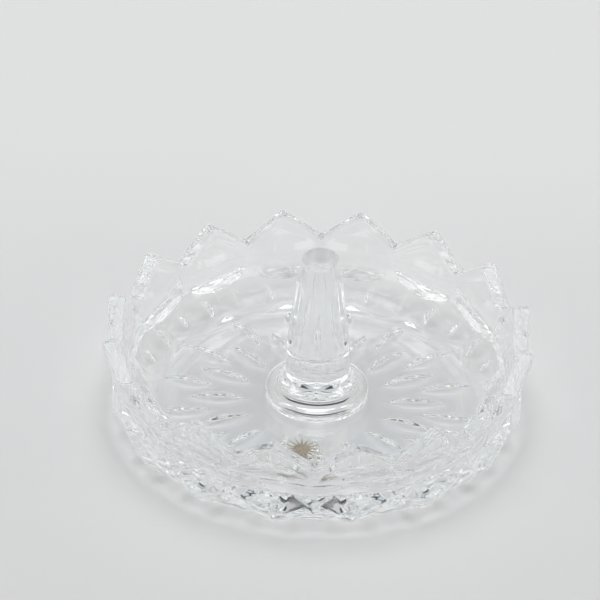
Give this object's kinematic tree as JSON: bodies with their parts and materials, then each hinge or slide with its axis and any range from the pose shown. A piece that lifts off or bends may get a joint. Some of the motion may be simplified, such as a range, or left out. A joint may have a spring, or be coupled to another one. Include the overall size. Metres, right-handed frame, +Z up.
{
  "type": "ring holder dish",
  "caption": "Round clear crystal dish with a saw-toothed rim, hollow-cut wall and leaf-cut base, and a tapered central post for finger rings.",
  "frame": {"origin": "middle of the flat foot, on the table plane", "axes": "+Z up along the post; -Y towards the side with the sticker, a rim notch on +Y and on -Y"},
  "size_m": [0.098, 0.098, 0.0434],
  "materials": {
    "crystal": "polished lead crystal",
    "clear_adhesive": "cured clear adhesive",
    "clear_film": "clear polyester sticker",
    "gold_ink": "dark gold print"
  },
  "bodies": {
    "root": {"dish": "crystal", "ring_post": "crystal", "bond_film": "clear_adhesive", "label_film": "clear_film", "label_print": "gold_ink"}
  },
  "joints": []
}
